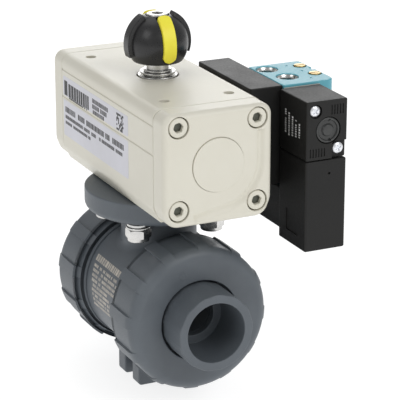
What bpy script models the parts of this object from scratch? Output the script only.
"""Actuated true-union ball valve: PVC valve, rack-and-pinion actuator and solenoid pilot valve.

Sizes are in millimetres and MM turns them into metres when a mesh is made. The pipe runs along Y, the
stem stands along Z and the pilot valve sits on the +X side. The origin is the foot's flat underside on
the stem axis. The valve is at rest in its open position.
"""

import math

import bmesh
import bpy
from mathutils import Matrix, Vector

MM = 0.001
GAP = 0.3  # clearance between neighbouring pieces

# Heights
PIPE_Z = 41.0  # pipe axis above the foot
FLANGE_TOP = 91.2
ACTUATOR_BOTTOM = 91.5
ACTUATOR_TOP = 141.1
BORE_Z = 117.1  # axis of the piston bore

# Valve
BARREL_R = 28.5
THREAD_R = 26.0
BARREL_HALF = 19.4
BODY_HALF = 33.0  # half length of the body with its threads
GROOVE_IN, GROOVE_OUT, GROOVE_DEPTH = 13.3, 16.9, 1.7  # face O-ring groove
NECK_R = 17.0
FLANGE_R = 33.0
FLANGE_T = 10.0
FOOT_X, FOOT_Y0, FOOT_Y1, FOOT_H = 15.5, 4.0, 11.6, 19.0
BALL_R, FLOW_R = 16.5, 9.5
SEAT_R, SEAT_BACK, CAVITY_R, CARRIER_R = 14.2, 17.5, 17.3, 20.7
NUT_R, NUT_REAR, NUT_FACE, NUT_HOLE_R = 33.5, 20.0, 43.5, 18.3
NUT_WALL = 4.6
HUB_R, SOCKET_R, SOCKET_DEPTH, HUB_END = 17.4, 13.5, 23.0, 59.9
STEM_R, STEM_BORE_R, STEM_COLLAR_R = 6.5, 6.9, 8.5
TONGUE_HALF, TONGUE_FOOT = 3.0, 13.0  # the stem's tongue: half thickness, foot above the pipe axis
SQUARE, SQUARE_HEIGHT = 11.0, (91.4, 103.0)  # square drive: across its flats, and where it stands
BOLT_AT = 17.68  # bolts on a 50 mm circle

# Actuator
HALF_WIDTH = 25.15
BODY_END, CAP_SEAM, CAP_FACE = 50.6, 50.9, 61.3
PISTON_BORE_R, PISTON_R = 19.0, 18.7
HEAD_OUT, HEAD_IN = 49.0, 40.0  # piston head faces, valve open
RACK_TIP = 10.5  # how far the rack passes the stem axis, valve open
MODULE, TEETH = 1.0, 18
PITCH_R = MODULE * TEETH / 2
PRESSURE = math.radians(20)
FLANK_PLAY = 0.2  # taken off each tooth's thickness
CAP_SCREW_X, CAP_SCREW_Z = 18.1, 18.15
SPINDLE_R = 6.3
AIR_WAYS, AIR_WAY_R = (-24.0, 0.0), 2.0  # air holes in the actuator's side, at the height of its bore

# Knob
KNOB_Z, KNOB_R, KNOB_BASE, KNOB_TOP = 155.1, 15.6, 145.2, 169.2
RIB_R, STRIP_IN, STRIP_W = 16.2, 14.1, 5.6
STRIP_SWEEP = (-41, 64)  # degrees above the knob's equator

# Pilot valve
PLATE_X = (25.45, 40.9)
PLATE_Y = (-36.0, 12.5)
BLOCK_X = (41.2, 66.5)
BLOCK_Y = (-40.0, -6.0)
BLOCK_Z = (97.0, 141.1)
PILOT_X = (39.0, 58.5)
PILOT_Y = (-65.5, -41.0)
PILOT_Z = (114.1, 140.1)
COIL_Z = (73.4, 113.8)
SPOOL_X, SPOOL_Z, SPOOL_BORE_R = 54.0, 127.3, 5.0
BUTTON_X, BUTTON_Z, BUTTON_R = 49.4, 126.9, 5.6
PILOT_SCREWS = ((43.3, 135.7), (54.5, 118.4))
PORTS = ((46.9, -13.2), (49.5, -27.7))
PORT_R = 4.9
FLOW_SCREWS = ((63.0, -13.8), (63.0, -27.9))

FINISHES = {
    "pvc_grey": ((0.115, 0.13, 0.145), 0.42, 0.0),
    "cream_paint": ((0.72, 0.70, 0.61), 0.4, 0.0),
    "black_plastic": ((0.03, 0.03, 0.03), 0.5, 0.0),
    "yellow_plastic": ((0.95, 0.85, 0.06), 0.45, 0.0),
    "steel": ((0.62, 0.62, 0.60), 0.28, 1.0),
    "brass": ((0.60, 0.47, 0.25), 0.3, 1.0),
    "blue_paint": ((0.10, 0.42, 0.52), 0.4, 0.0),
    "black_rubber": ((0.02, 0.02, 0.02), 0.7, 0.0),
    "white_ptfe": ((0.85, 0.85, 0.82), 0.5, 0.0),
    "bush_plastic": ((0.55, 0.52, 0.42), 0.5, 0.0),
    "cast_aluminium": ((0.55, 0.55, 0.54), 0.45, 1.0),
    "gasket": ((0.45, 0.43, 0.38), 0.7, 0.0),
}


def finish(name):
    """The Principled material called name, made the first time it is asked for."""
    material = bpy.data.materials.get(name)
    if material is None:
        colour, roughness, metallic = FINISHES[name]
        material = bpy.data.materials.new(name)
        material.use_nodes = True
        shader = material.node_tree.nodes["Principled BSDF"]
        shader.inputs["Base Color"].default_value = (*colour, 1.0)
        shader.inputs["Roughness"].default_value = roughness
        shader.inputs["Metallic"].default_value = metallic
    return material


def add_object(name, shape, coat, at, parent=None):
    """Closes the bmesh into an object called name, with its origin at the place given in millimetres."""
    bmesh.ops.remove_doubles(shape, verts=shape.verts, dist=1e-7)
    bmesh.ops.recalc_face_normals(shape, faces=shape.faces)
    mesh = bpy.data.meshes.new(name)
    shape.to_mesh(mesh)
    shape.free()
    mesh.shade_smooth()
    mesh.set_sharp_from_angle(angle=math.radians(35))
    solid = bpy.data.objects.new(name, mesh)
    solid.location = Vector(at) * MM
    bpy.context.scene.collection.objects.link(solid)
    if parent is not None:
        solid.parent = parent
        solid.matrix_parent_inverse = Matrix.Translation(-parent.location)
    if coat is None:
        solid.hide_render = True
        solid.display_type = "WIRE"
    else:
        mesh.materials.append(finish(coat))
    return solid


def placed(axis, u, v, height):
    """The point (u, v) of an outline at a height along the axis: XY for Z, XZ for Y and YZ for X."""
    return Vector({"X": (height, u, v), "Y": (u, height, v), "Z": (u, v, height)}[axis]) * MM


def turned(name, profile, coat, axis="Z", at=(0, 0, 0), sides=32, parent=None):
    """A solid of revolution. The profile is a closed loop of (radius, height) points."""
    shape = bmesh.new()
    rings = []
    for step in range(sides):
        angle = 2 * math.pi * (step + 0.5) / sides
        c, s = math.cos(angle), math.sin(angle)
        rings.append([shape.verts.new(placed(axis, r * c, r * s, h)) for r, h in profile])
    for step in range(sides):
        here, there = rings[step], rings[(step + 1) % sides]
        for i in range(len(profile)):
            j = (i + 1) % len(profile)
            if profile[i][0] or profile[j][0]:
                shape.faces.new((here[i], here[j], there[j], there[i]))
    return add_object(name, shape, coat, at, parent)


def rod(name, radius, low, high, coat, axis="Z", at=(0, 0, 0), sides=24, parent=None):
    """A plain cylinder from low to high along the axis."""
    profile = [(0, low), (radius, low), (radius, high), (0, high)]
    return turned(name, profile, coat, axis, at, sides, parent)


def sleeve(name, inner, outer, low, high, coat, axis="Z", at=(0, 0, 0), sides=24, parent=None):
    """A plain ring or tube."""
    profile = [(inner, low), (outer, low), (outer, high), (inner, high)]
    return turned(name, profile, coat, axis, at, sides, parent)


def o_ring(name, ring_r, wire_r, coat, axis="Z", at=(0, 0, 0), sides=20, parent=None):
    """A round-section ring, four-sided in section."""
    turns = [math.pi * i / 2 for i in range(4)]
    profile = [(ring_r + wire_r * math.cos(t), wire_r * math.sin(t)) for t in turns]
    return turned(name, profile, coat, axis, at, sides, parent)


def prism(name, outline, low, high, coat, axis="Z", at=(0, 0, 0), parent=None):
    """An outline of (u, v) points pushed along the axis from low to high."""
    shape = bmesh.new()
    ends = [[shape.verts.new(placed(axis, u, v, height)) for u, v in outline] for height in (low, high)]
    shape.faces.new(ends[0])
    shape.faces.new(ends[1])
    for i in range(len(outline)):
        j = (i + 1) % len(outline)
        shape.faces.new((ends[0][i], ends[0][j], ends[1][j], ends[1][i]))
    return add_object(name, shape, coat, at, parent)


def block(name, x, y, z, coat, at=(0, 0, 0), parent=None):
    """A box between the low and high values of x, y and z."""
    outline = [(x[0], y[0]), (x[1], y[0]), (x[1], y[1]), (x[0], y[1])]
    return prism(name, outline, z[0], z[1], coat, "Z", at, parent)


def hexagon(across_flats, turn=0.0):
    """The corners of a hexagon of the given width across its flats."""
    angles = [turn + math.pi * i / 3 for i in range(6)]
    radius = across_flats / (2 * math.cos(math.pi / 6))
    return [(radius * math.cos(a), radius * math.sin(a)) for a in angles]


def square_outline(across_flats, corner_r):
    """A square with round corners."""
    half = across_flats / 2
    return rounded([(-half, -half, corner_r), (half, -half, corner_r), (half, half, corner_r),
                    (-half, half, corner_r)], 2)


def rounded(corners, steps=3):
    """An outline with each corner (u, v, radius) rounded by an arc tangent to both of its sides."""
    outline = []
    count = len(corners)
    for i, (u, v, radius) in enumerate(corners):
        here = Vector((u, v))
        before = (Vector(corners[i - 1][:2]) - here).normalized()
        after = (Vector(corners[(i + 1) % count][:2]) - here).normalized()
        if radius == 0:
            outline.append((u, v))
            continue
        half = before.angle(after) / 2
        reach = radius / math.tan(half)
        centre = here + (before + after).normalized() * radius / math.sin(half)
        start, end = here + before * reach - centre, here + after * reach - centre
        sweep = math.atan2(start.x * end.y - start.y * end.x, start.dot(end))
        for k in range(steps + 1):
            angle = sweep * k / steps
            c, s = math.cos(angle), math.sin(angle)
            outline.append((centre.x + c * start.x - s * start.y, centre.y + s * start.x + c * start.y))
    return outline


def combine(solid, others, operation):
    """Adds one exact Boolean to the solid for each of the others, which become hidden helpers."""
    for other in others:
        other.parent = solid.parent
        other.matrix_parent_inverse = solid.matrix_parent_inverse
        other.hide_render = True
        other.display_type = "WIRE"
        modifier = solid.modifiers.new(other.name, "BOOLEAN")
        modifier.object = other
        modifier.operation = operation
        modifier.solver = "EXACT"
    return solid


def cut(solid, *others):
    return combine(solid, others, "DIFFERENCE")


def fuse(solid, *others):
    return combine(solid, others, "UNION")


def joint_origin(name, at):
    """An empty on a joint's axis, for the pieces that move with it."""
    empty = bpy.data.objects.new(name, None)
    empty.location = Vector(at) * MM
    bpy.context.scene.collection.objects.link(empty)
    return empty


# ---------------------------------------------------------------- valve


def valve_body():
    """Barrel, threads, neck, flange and foot in one moulding, bored for the ball and the stem."""
    chamfer = 1.0
    half = [(0, BODY_HALF), (THREAD_R - chamfer, BODY_HALF), (THREAD_R, BODY_HALF - chamfer)]
    half += [(THREAD_R, BARREL_HALF), (BARREL_R, BARREL_HALF)]
    barrel = [(r, -h) for r, h in half] + list(reversed(half))
    at = (0, 0, PIPE_Z)
    body = turned("valve_body", barrel, "pvc_grey", "Y", at, 28)
    fuse(body, body_neck(), *body_foot())
    cut(body, turned("body_cavity", cavity_profile(), None, "Y", at, 24), body_stem_bore())
    low = FLANGE_TOP - 1.5 * FLANGE_T
    for i, (x, y) in enumerate(bolt_places()):
        cut(body, rod(f"body_bolt_hole_{i}", 3.3, low, FLANGE_TOP + 1, None, at=(x, y, 0), sides=8))
    return body


def body_neck():
    """Neck on the barrel and the round mounting flange above it."""
    low, top, chamfer, fillet = FLANGE_TOP - FLANGE_T, FLANGE_TOP, 2.5, 1.5
    neck = [(0, PIPE_Z), (NECK_R, PIPE_Z), (NECK_R, low - fillet), (NECK_R + fillet, low)]
    neck += [(FLANGE_R - chamfer, low), (FLANGE_R, low + chamfer), (FLANGE_R, top), (0, top)]
    return turned("body_neck", neck, None, "Z", sides=28)


def body_foot():
    """Two flat lugs across the pipe and the web between them."""
    lug = [(-FOOT_X, 0), (FOOT_X, 0), (FOOT_X, FOOT_H), (-FOOT_X, FOOT_H)]
    front = prism("body_front_lug", lug, -FOOT_Y1, -FOOT_Y0, None, "Y")
    rear = prism("body_rear_lug", lug, FOOT_Y0, FOOT_Y1, None, "Y")
    web_y = FOOT_Y0 + 1
    return front, rear, block("body_foot_web", (-8, 8), (-web_y, web_y), (0, FOOT_H), None)


def cavity_profile():
    """What is bored out along the pipe: O-ring groove, way in, front seat, ball chamber, carrier thread."""
    past = BODY_HALF + 1
    bottom = BODY_HALF - GROOVE_DEPTH
    front = [(0, -past), (GROOVE_OUT, -past), (GROOVE_OUT, -bottom), (GROOVE_IN, -bottom)]
    front += [(GROOVE_IN, -BODY_HALF - 0.5), (FLOW_R, -BODY_HALF - 0.5), (FLOW_R, -SEAT_BACK)]
    front += [(SEAT_R + GAP, -SEAT_BACK), (SEAT_R + GAP, -13), (CAVITY_R, -13), (CAVITY_R, 14.5)]
    return front + [(CARRIER_R + GAP, 14.5), (CARRIER_R + GAP, past), (0, past)]


def body_stem_bore():
    """Stepped hole for the stem and the collar at its foot."""
    foot, shoulder, top = PIPE_Z + 10, PIPE_Z + 21, FLANGE_TOP + 1
    hole = [(0, foot), (STEM_COLLAR_R + 0.4, foot), (STEM_COLLAR_R + 0.4, shoulder), (STEM_BORE_R, shoulder)]
    return turned("body_stem_bore", hole + [(STEM_BORE_R, top), (0, top)], None, "Z", sides=20)


def bolt_places():
    return [(sx * BOLT_AT, sy * BOLT_AT) for sy in (-1, 1) for sx in (-1, 1)]


def union_nut(name, side, hinge):
    """Collar that pulls an end connector's flange against the body."""
    wall, edge, fillet = NUT_FACE - NUT_WALL, 1.0, 4.5
    thread = THREAD_R + GAP + 0.1
    middle = fillet * (1 - math.cos(math.pi / 4))
    profile = [(thread, NUT_REAR), (NUT_R - edge, NUT_REAR), (NUT_R, NUT_REAR + edge)]
    profile += [(NUT_R, NUT_FACE - fillet), (NUT_R - middle, NUT_FACE - middle), (NUT_R - fillet, NUT_FACE)]
    profile += [(NUT_HOLE_R, NUT_FACE), (NUT_HOLE_R, wall), (thread, wall)]
    profile = [(r, side * h) for r, h in profile]
    return turned(name, profile, "pvc_grey", "Y", (0, 0, PIPE_Z), 28, hinge)


def end_connector(name, side):
    """Socket for the pipe, with a flange that the nut holds."""
    face, flange = BODY_HALF + GAP, NUT_FACE - NUT_WALL - GAP
    stop = HUB_END - SOCKET_DEPTH
    profile = [(FLOW_R, face), (THREAD_R - 1.5, face), (THREAD_R - 1.5, flange), (HUB_R, flange)]
    taper = 0.3
    profile += [(HUB_R, HUB_END), (SOCKET_R, HUB_END), (SOCKET_R - taper, stop), (FLOW_R, stop)]
    profile = [(r, side * h) for r, h in profile]
    return turned(name, profile, "pvc_grey", "Y", (0, 0, PIPE_Z), 24)


def ball(drive):
    """Bored ball with a slot on top for the stem's tongue."""
    steps = 10
    arc = [math.pi * (i / steps - 0.5) for i in range(1, steps)]
    profile = [(0, -BALL_R)] + [(BALL_R * math.cos(a), BALL_R * math.sin(a)) for a in arc] + [(0, BALL_R)]
    sphere = turned("ball", profile, "pvc_grey", "Y", (0, 0, PIPE_Z), 20, drive)
    bore = rod("ball_bore", FLOW_R, -BALL_R - 1, BALL_R + 1, None, "Y", (0, 0, PIPE_Z), 20)
    half = TONGUE_HALF + GAP
    slot = block("ball_slot", (-half, half), (-20, 20), (PIPE_Z + TONGUE_FOOT - GAP, PIPE_Z + 20), None)
    return cut(sphere, bore, slot)


def ball_seat(name, side):
    """PTFE ring that the ball turns against."""
    bore, back, lip = FLOW_R + 0.2, SEAT_BACK - GAP, 11.9
    profile = [(bore, back), (SEAT_R, back), (SEAT_R, lip), (12.3, lip), (bore, 14.1)]
    profile = [(r, side * h) for r, h in profile]
    return turned(name, profile, "white_ptfe", "Y", (0, 0, PIPE_Z), 20)


def seal_carrier():
    """Threaded ring that loads the rear seat, with the face groove for the rear O-ring."""
    end, bottom, start = BODY_HALF - GAP, BODY_HALF - GAP - GROOVE_DEPTH, 14.8
    profile = [(FLOW_R, SEAT_BACK), (SEAT_R + GAP, SEAT_BACK), (SEAT_R + GAP, start), (CARRIER_R, start)]
    profile += [(CARRIER_R, end), (GROOVE_OUT, end), (GROOVE_OUT, bottom), (GROOVE_IN, bottom)]
    profile += [(GROOVE_IN, end), (FLOW_R, end)]
    return turned("seal_carrier", profile, "pvc_grey", "Y", (0, 0, PIPE_Z), 20)


def stem(drive):
    """Plastic stem: tongue in the ball, collar under the neck, square drive at the top."""
    foot, shoulder, end = PIPE_Z + 17.3, PIPE_Z + 20.6, SQUARE_HEIGHT[0] + 0.2
    groove_r, groove_low, groove_high = 4.6, 68.6, 71.4
    profile = [(0, foot), (STEM_COLLAR_R, foot), (STEM_COLLAR_R, shoulder), (STEM_R, shoulder)]
    profile += [(STEM_R, groove_low), (groove_r, groove_low), (groove_r, groove_high), (STEM_R, groove_high)]
    shaft = turned("stem", profile + [(STEM_R, end), (0, end)], "pvc_grey", "Z", sides=16, parent=drive)
    width = (-TONGUE_HALF, TONGUE_HALF)
    tongue = block("stem_tongue", width, (-6, 6), (PIPE_Z + TONGUE_FOOT, foot + 1), None)
    square = prism("stem_square", square_outline(SQUARE, 1.6), *SQUARE_HEIGHT, None)
    return fuse(shaft, tongue, square)


def flange_bolt(name, x, y):
    """M6 hexagon bolt from below, with a round collar under its head."""
    head_low, head_high = 74.1, 78.1
    shank = rod(name, 2.9, head_high - 1, 98.5, "steel", at=(x, y, 0), sides=8)
    head = prism(name + "_hex", hexagon(10, math.pi / 6), head_low, head_high, None, at=(x, y, 0))
    collar = rod(name + "_collar", 4.9, head_low - 1.6, head_low + 0.9, None, at=(x, y, 0), sides=12)
    return fuse(shank, head, collar)


def build_valve(drive, front_hinge, rear_hinge):
    valve_body()
    union_nut("front_union_nut", -1, front_hinge)
    union_nut("rear_union_nut", 1, rear_hinge)
    for name, side in (("front", -1), ("rear", 1)):
        end_connector(f"{name}_end_connector", side)
        ball_seat(f"{name}_ball_seat", side)
        at = (0, side * (BODY_HALF - 0.7), PIPE_Z)
        o_ring(f"{name}_face_oring", 15.1, 0.8, "black_rubber", "Y", at)
    ball(drive)
    seal_carrier()
    stem(drive)
    o_ring("stem_oring", 5.7, 0.85, "black_rubber", "Z", (0, 0, 70), 16, drive)
    for i, (x, y) in enumerate(bolt_places()):
        flange_bolt(f"flange_bolt_{i + 1}", x, y)
        sleeve(f"flange_washer_{i + 1}", 3.25, 5.6, 78.4, 80.8, "steel", at=(x, y, 0), sides=10)


# ---------------------------------------------------------------- actuator


def actuator_section():
    """Outline of the extruded body and its caps: round top corners, sides tapered in near the bottom."""
    w, low, high = HALF_WIDTH, ACTUATOR_BOTTOM, ACTUATOR_TOP
    crease, base = 97.6, 21.8
    return rounded([(-w, high, 4.5), (-w, crease, 4), (-base, low, 1.2), (base, low, 1.2),
                    (w, crease, 4), (w, high, 4.5)], 3)


def actuator_body():
    """Extrusion with the piston bore along Y and the pinion bore along Z."""
    body = prism("actuator_body", actuator_section(), -BODY_END, BODY_END, "cream_paint", "Y")
    bore = rod("body_piston_bore", PISTON_BORE_R, -60, 60, None, "Y", (0, 0, BORE_Z), 28)
    lower = rod("body_lower_pinion_bore", 12.5, 85, 104, None, sides=20)
    upper = rod("body_upper_pinion_bore", 9.25, 125, 145, None, sides=20)
    cut(body, bore, lower, upper)
    for i, (x, y) in enumerate(bolt_places()):
        cut(body, rod(f"body_flange_thread_{i}", 3.2, 85, 99.5, None, at=(x, y, 0), sides=8))
    for i, side in enumerate((-1, 1)):
        for j, (x, z) in enumerate(cap_screw_places()):
            ends = sorted((side * 42, side * 60))
            cut(body, rod(f"body_cap_thread_{i}_{j}", 2.7, *ends, None, "Y", (x, 0, z), 8))
        for j, x in enumerate((-15, 15)):
            top_hole = rod(f"body_top_thread_{i}_{j}", 2.2, 133, 145, None, at=(x, side * 40, 0), sides=8)
            cut(body, top_hole)
    for i, y in enumerate(AIR_WAYS):
        cut(body, rod(f"body_air_way_{i}", AIR_WAY_R, 15, 30, None, "X", (0, y, BORE_Z), 8))
    return body


def cap_screw_places():
    return [(sx * CAP_SCREW_X, BORE_Z + sz * CAP_SCREW_Z) for sz in (1, -1) for sx in (-1, 1)]


def end_cap(name, side):
    """Cast cap with counterbored screws, a seal groove and a shallow inner recess."""
    ends = sorted((side * CAP_SEAM, side * CAP_FACE))
    cap = prism(name, actuator_section(), *ends, "cream_paint", "Y")
    seam = side * CAP_SEAM
    recess = sorted((seam - side, seam + side * 4.5))
    groove = sorted((seam - side, seam + side * 1.7))
    at = (0, 0, BORE_Z)
    cut(cap, rod(name + "_recess", 17, *recess, None, "Y", at, 20))
    cut(cap, sleeve(name + "_groove", 19.6, 22.0, *groove, None, "Y", at, 20))
    for i, (x, z) in enumerate(cap_screw_places()):
        head = sorted((side * (CAP_FACE - 4.8), side * (CAP_FACE + 1)))
        through = sorted((side * (CAP_SEAM - 1), side * (CAP_FACE + 1)))
        cut(cap, rod(f"{name}_counterbore_{i}", 4.7, *head, None, "Y", (x, 0, z), 12))
        cut(cap, rod(f"{name}_clearance_{i}", 2.8, *through, None, "Y", (x, 0, z), 8))
    return cap


def cap_screw(name, x, z, side):
    """M5 socket head screw."""
    head, under, tip = CAP_FACE - 0.4, CAP_FACE - 4.5, 44
    shank = [(0, tip), (2.4, tip), (2.4, under), (4.25, under), (4.25, head), (0, head)]
    screw = turned(name, [(r, side * h) for r, h in shank], "cream_paint", "Y", (x, 0, z), 10)
    depth = sorted((side * (head - 2.5), side * (head + 1)))
    socket = prism(name + "_socket", hexagon(4), *depth, None, "Y", (x, 0, z))
    return cut(screw, socket)


def rack_outline(near, far):
    """Rack seen from above in its own frame: flat back, straight-sided teeth towards the pinion."""
    pitch = math.pi * MODULE
    tip, root, back = PITCH_R - MODULE, PITCH_R + 1.25 * MODULE, 15.5
    half = pitch / 4 - FLANK_PLAY / 2
    slope = math.tan(PRESSURE)
    outline = [(back, far), (back, near), (root, near)]
    first, last = -6, 2
    for tooth in range(first, last + 1):
        centre = (tooth + 0.5) * pitch
        at_root = half + slope * (root - PITCH_R)
        at_tip = half - slope * (PITCH_R - tip)
        outline += [(root, centre - at_root), (tip, centre - at_tip)]
        outline += [(tip, centre + at_tip), (root, centre + at_root)]
    outline.append((root, far))
    return outline


def piston(name, side, slide):
    """Piston head with a ring groove and a rack arm reaching past the pinion."""
    profile = [(0, 45.5), (14, 45.5), (15, HEAD_OUT), (PISTON_R, HEAD_OUT), (PISTON_R, 46.2), (16.8, 46.2)]
    profile += [(16.8, 43.6), (PISTON_R, 43.6), (PISTON_R, HEAD_IN), (0, HEAD_IN)]
    profile = [(r, side * h) for r, h in profile]
    head = turned(name, profile, "cast_aluminium", "Y", (0, 0, BORE_Z), 24, slide)
    outline = rack_outline(-(HEAD_IN + 1.5), RACK_TIP)
    # The front piston's rack is on the -X side and the rear piston's on the +X side.
    outline = [(side * x, -side * y) for x, y in outline]
    arm = prism(name + "_rack", outline, -7, 7, None, "Z", (0, 0, BORE_Z))
    return fuse(head, arm)


def gear_outline():
    """Outline of the pinion teeth: involute flanks down to the base circle, then radial to the root."""
    base = PITCH_R * math.cos(PRESSURE)
    half = (math.pi * MODULE / 2 - FLANK_PLAY) / (2 * PITCH_R)

    def involute(angle):
        return math.tan(angle) - angle

    def flank(radius):
        if radius <= base:
            return half + involute(PRESSURE)
        return half + involute(PRESSURE) - involute(math.acos(base / radius))

    radii = (PITCH_R - 1.25 * MODULE, 8.6, PITCH_R + 0.9 * MODULE)
    outline = []
    for tooth in range(TEETH):
        middle = 2 * math.pi * tooth / TEETH
        for radius in radii:
            angle = middle - flank(radius)
            outline.append((radius * math.cos(angle), radius * math.sin(angle)))
        for radius in reversed(radii):
            angle = middle + flank(radius)
            outline.append((radius * math.cos(angle), radius * math.sin(angle)))
    return outline


def pinion(drive):
    """Shaft with teeth in the middle, square socket below and round spindle above."""
    profile = [(0, 91.9), (10.2, 91.9), (10.2, 109.1), (7.0, 109.1), (7.5, 120), (7.5, 140.1)]
    profile += [(SPINDLE_R, 140.1), (SPINDLE_R, 141.9), (5.5, 141.9), (5.5, 143.3), (SPINDLE_R, 143.3)]
    profile += [(SPINDLE_R, 148), (0, 148)]
    shaft = turned("pinion", profile, "steel", "Z", sides=20, parent=drive)
    gear = prism("pinion_teeth", gear_outline(), 108.6, 125.3, None)
    outline = square_outline(SQUARE + 2 * GAP, 1.2)
    socket = prism("pinion_socket", outline, 85, SQUARE_HEIGHT[1] + 1, None)
    thread = rod("pinion_thread", 2.8, 140, 150, None, sides=12)
    fuse(shaft, gear)
    return cut(shaft, socket, thread)


def sector(inner, outer, start, end, steps=6):
    """Outline of a ring sector between two angles in degrees."""
    angles = [math.radians(start + (end - start) * i / steps) for i in range(steps + 1)]
    outside = [(outer * math.cos(a), outer * math.sin(a)) for a in angles]
    return outside + [(inner * math.cos(a), inner * math.sin(a)) for a in reversed(angles)]


def indicator_knob(drive):
    """Ball-shaped knob with four upright ribs; the front and rear ones are slots for the strips."""
    steps = 7
    low, high = (KNOB_BASE - KNOB_Z) / KNOB_R, (KNOB_TOP - KNOB_Z) / KNOB_R
    start, end = math.asin(low), math.asin(high)
    arc = [start + (end - start) * i / steps for i in range(steps + 1)]
    shell = [(KNOB_R * math.cos(a), KNOB_Z + KNOB_R * math.sin(a)) for a in arc]
    profile = [(SPINDLE_R + GAP, KNOB_BASE)] + shell
    profile += [(6.2, KNOB_TOP), (6.2, 165.6), (2.9, 165.6), (2.9, 148.3), (SPINDLE_R + GAP, 148.3)]
    knob = turned("indicator_knob", profile, "black_plastic", "Z", sides=24, parent=drive)
    at = (0, 0, KNOB_Z)
    for i, side in enumerate((-1, 1)):
        rib = [(side * u, v) for u, v in sector(12.5, RIB_R, -38, 62)]
        fuse(knob, prism(f"knob_rib_{i}", rib, -STRIP_W / 2, STRIP_W / 2, None, "Y", at))
        sweep = (STRIP_SWEEP[0] - 2, STRIP_SWEEP[1] + 2)
        slot = [(side * u, v) for u, v in sector(STRIP_IN - GAP, RIB_R + 3, *sweep)]
        cut(knob, prism(f"knob_slot_{i}", slot, -STRIP_W / 2 - GAP, STRIP_W / 2 + GAP, None, "X", at))
    return knob


def indicator_strip(name, side, drive):
    """Yellow strip let into the knob; the pair shows the direction of flow."""
    outline = [(side * u, v) for u, v in sector(STRIP_IN, RIB_R, *STRIP_SWEEP)]
    return prism(name, outline, -STRIP_W / 2, STRIP_W / 2, "yellow_plastic", "X", (0, 0, KNOB_Z), drive)


def indicator_screw(drive):
    """Socket head screw that holds the knob on the spindle."""
    profile = [(0, 142), (2.5, 142), (2.5, 165.9), (4.8, 165.9), (4.8, 169), (0, 169)]
    screw = turned("indicator_screw", profile, "steel", "Z", sides=14, parent=drive)
    return cut(screw, prism("screw_socket", hexagon(4.5), 166.8, 172, None))


def build_actuator(drive, front_slide, rear_slide):
    actuator_body()
    for name, side, slide in (("front", -1, front_slide), ("rear", 1, rear_slide)):
        end_cap(f"{name}_end_cap", side)
        for i, (x, z) in enumerate(cap_screw_places()):
            cap_screw(f"{name}_cap_screw_{i + 1}", x, z, side)
        seal_at = (0, side * (CAP_SEAM + 0.6), BORE_Z)
        o_ring(f"{name}_cap_seal", 20.8, 0.8, "black_rubber", "Y", seal_at)
        piston(f"{name}_piston", side, slide)
        ring_at = (0, side * 44.9, BORE_Z)
        o_ring(f"{name}_piston_ring", 17.95, 0.85, "black_rubber", "Y", ring_at, 20, slide)
    pinion(drive)
    sleeve("lower_pinion_bush", 10.5, 12.2, 91.9, 97.9, "bush_plastic", sides=16)
    sleeve("upper_pinion_bush", 7.85, 8.95, 127, 139.8, "bush_plastic", sides=16)
    sleeve("thrust_washer", 6.65, 8.8, 140.4, 141.5, "steel", sides=16)
    sleeve("spindle_circlip", 5.8, 7.9, 142.2, 143, "steel", sides=16, parent=drive)
    indicator_knob(drive)
    indicator_strip("front_indicator_strip", -1, drive)
    indicator_strip("rear_indicator_strip", 1, drive)
    indicator_screw(drive)


# ---------------------------------------------------------------- pilot valve


def interface_plate():
    """Plate that carries the pilot valve on the actuator's side and passes its air."""
    plate = block("interface_plate", PLATE_X, PLATE_Y, BLOCK_Z, "black_plastic")
    direct, offset, exit_y, middle = *AIR_WAYS, -13, 32
    straight = rod("plate_air_way", AIR_WAY_R, 20, 45, None, "X", (0, direct, BORE_Z), 8)
    inner = rod("plate_inner_way", AIR_WAY_R, 20, 34, None, "X", (0, offset, BORE_Z), 8)
    cross = rod("plate_cross_way", AIR_WAY_R - 0.2, exit_y, offset, None, "Y", (middle, 0, BORE_Z), 8)
    outer = rod("plate_outer_way", AIR_WAY_R, middle - 1.8, 45, None, "X", (0, exit_y, BORE_Z), 8)
    return cut(plate, straight, inner, cross, outer)


def pilot_block():
    """Blue block with the spool bore, two threaded air ports and two flow control screws."""
    x, y = BLOCK_X, BLOCK_Y
    outline = rounded([(x[0], y[0], 0), (x[1], y[0], 4), (x[1], y[1], 1), (x[0], y[1], 0)], 3)
    body = prism("pilot_block", outline, *BLOCK_Z, "blue_paint")
    cut(body, block("block_side_notch", (x[1] - 1.8, x[1] + 2), (-22, -18), (90, 145), None))
    spool_at = (SPOOL_X, 0, SPOOL_Z)
    cut(body, rod("block_spool_bore", SPOOL_BORE_R, y[0] - 1, -7.5, None, "Y", spool_at, 16))
    for i, (px, py) in enumerate(PORTS):
        cut(body, rod(f"block_port_{i}", PORT_R, 133.6, 145, None, at=(px, py, 0), sides=16))
    for i, (px, py) in enumerate(FLOW_SCREWS):
        cut(body, rod(f"block_needle_hole_{i}", 3.0, 131, 145, None, at=(px, py, 0), sides=12))
    for i, (px, pz) in enumerate(PILOT_SCREWS):
        cut(body, rod(f"block_screw_thread_{i}", 1.5, y[0] - 1, -33.2, None, "Y", (px, 0, pz), 10))
    return body


def flow_screw(name, x, y, hinge):
    """Brass needle screw that throttles the exhaust, slotted on top."""
    screw = rod(name, 2.7, 132, 141.5, "brass", at=(x, y, 0), sides=12, parent=hinge)
    return cut(screw, block(name + "_slot", (-3, 3), (-0.4, 0.4), (140.6, 143), None, (x, y, 0)))


def spool(slide):
    """Three-land spool, pushed along Y by the pilot air."""
    land, waist = SPOOL_BORE_R - GAP, 3.0
    profile = [(0, -39.3), (land, -39.3), (land, -35.5), (waist, -34.5), (waist, -32), (land, -31)]
    profile += [(land, -28), (waist, -27), (waist, -24.5), (land, -23.5), (land, -20), (0, -20)]
    return turned("spool", profile, "cast_aluminium", "Y", (SPOOL_X, 0, SPOOL_Z), 14, slide)


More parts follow.
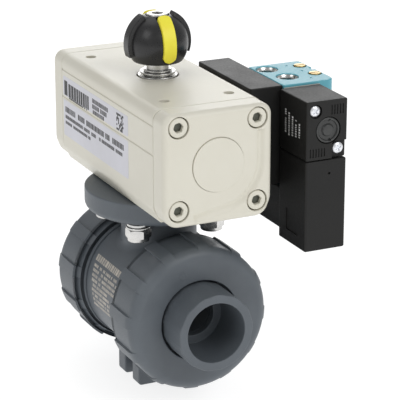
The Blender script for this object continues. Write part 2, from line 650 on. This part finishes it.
def spool_spring():
    """Coil spring between the spool and the end of its bore."""
    start, end, turns, coil_r, wire_r = -19.1, -8.3, 5, 3.4, 0.45
    steps, sides = 9 * turns, 4
    shape = bmesh.new()
    rings = []
    for i in range(steps + 1):
        angle = 2 * math.pi * turns * i / steps
        y = start + (end - start) * i / steps
        ring = []
        for k in range(sides):
            t = 2 * math.pi * k / sides
            radius = coil_r + wire_r * math.cos(t)
            point = (radius * math.cos(angle), y + wire_r * math.sin(t), radius * math.sin(angle))
            ring.append(shape.verts.new(Vector(point) * MM))
        rings.append(ring)
    for here, there in zip(rings, rings[1:]):
        for k in range(sides):
            m = (k + 1) % sides
            shape.faces.new((here[k], here[m], there[m], there[k]))
    shape.faces.new(rings[0])
    shape.faces.new(rings[-1])
    return add_object("spool_spring", shape, "steel", (SPOOL_X, 0, SPOOL_Z))


def head_gasket():
    """Thin sheet between the block and the pilot head."""
    sheet = block("head_gasket", (BLOCK_X[0], PILOT_X[1]), (-40.7, -40.3), (PILOT_Z[0], PILOT_Z[1]), "gasket")
    cut(sheet, rod("gasket_pilot_hole", 2.5, -45, -35, None, "Y", (SPOOL_X, 0, SPOOL_Z), 12))
    for i, (x, z) in enumerate(PILOT_SCREWS):
        cut(sheet, rod(f"gasket_screw_hole_{i}", 1.6, -45, -35, None, "Y", (x, 0, z), 10))
    return sheet


def pilot_head():
    """Black head with the manual override button and its two fixing screws."""
    front = PILOT_Y[0]
    head = block("pilot_head", PILOT_X, PILOT_Y, PILOT_Z, "black_plastic")
    button_at = (BUTTON_X, 0, BUTTON_Z)
    cut(head, rod("head_button_bore", BUTTON_R + GAP, front - 1, front + 5.9, None, "Y", button_at, 16))
    (x1, z1), (x2, z2) = PILOT_SCREWS
    cut(head, rod("head_screw_pocket", 3.0, front - 1, front + 2, None, "Y", (x1, 0, z1), 12))
    cut(head, block("head_corner_notch", (x2 - 3.2, 60), (front - 1, front + 2), (113, z2 + 3.4), None))
    for i, (x, z) in enumerate(PILOT_SCREWS):
        cut(head, rod(f"head_screw_hole_{i}", 1.5, front, -35, None, "Y", (x, 0, z), 10))
    return head


def pilot_screw(name, x, z):
    """Cross-recess screw that holds the pilot head on the block."""
    top, tip = PILOT_Y[0] + 0.2, -34
    under = top + 1.5
    profile = [(0, top), (2.5, top), (2.5, under), (1.2, under), (1.2, tip), (0, tip)]
    return turned(name, profile, "steel", "Y", (x, 0, z), 10)


def override_button(slide):
    """Push button for manual override, with a raised centre."""
    front = PILOT_Y[0]
    profile = [(0, front), (2.6, front), (2.8, front + 0.5), (4.4, front + 0.5), (4.9, front)]
    profile += [(BUTTON_R, front), (BUTTON_R, front + 3.6), (0, front + 3.6)]
    return turned("override_button", profile, "black_plastic", "Y", (BUTTON_X, 0, BUTTON_Z), 16, slide)


def coil_housing():
    """Moulded solenoid body with a step at the back that hangs under the block."""
    y = PILOT_Y
    body = block("coil_housing", PILOT_X, y, COIL_Z, "black_plastic")
    back = block("coil_back", (39.2, 58), (y[1] - 2, -20), (77.2, 96), None)
    fuse(body, back)
    well = rod("coil_plunger_well", 4.5, 86, 120, None, at=(*plunger_place(), 0), sides=16)
    return cut(body, well)


def plunger_place():
    return ((PILOT_X[0] + PILOT_X[1]) / 2, (PILOT_Y[0] + PILOT_Y[1]) / 2)


def build_pilot_valve(spool_slide, button_slide, plunger_slide, needle_hinges):
    interface_plate()
    pilot_block()
    for i, (x, y) in enumerate(FLOW_SCREWS):
        flow_screw(f"flow_screw_{i + 1}", x, y, needle_hinges[i])
    spool(spool_slide)
    spool_spring()
    head_gasket()
    pilot_head()
    for i, (x, z) in enumerate(PILOT_SCREWS):
        pilot_screw(f"pilot_screw_{i + 1}", x, z)
    override_button(button_slide)
    coil_housing()
    rod("solenoid_plunger", 4.1, 88, 110, "steel", at=(*plunger_place(), 0), sides=16, parent=plunger_slide)


def build():
    for startup in list(bpy.data.objects):
        bpy.data.objects.remove(startup, do_unlink=True)
    drive = joint_origin("drive_axis", (0, 0, 0))
    pipe_axis = (0, 0, PIPE_Z)
    hinges = [joint_origin(f"{name}_nut_axis", pipe_axis) for name in ("front", "rear")]
    build_valve(drive, *hinges)
    slides = [joint_origin(f"{name}_piston_axis", (0, 0, BORE_Z)) for name in ("front", "rear")]
    build_actuator(drive, *slides)
    needles = [joint_origin(f"flow_screw_axis_{i + 1}", (x, y, 0)) for i, (x, y) in enumerate(FLOW_SCREWS)]
    build_pilot_valve(
        joint_origin("spool_axis", (SPOOL_X, 0, SPOOL_Z)),
        joint_origin("button_axis", (BUTTON_X, 0, BUTTON_Z)),
        joint_origin("plunger_axis", (*plunger_place(), 0)),
        needles,
    )


build()
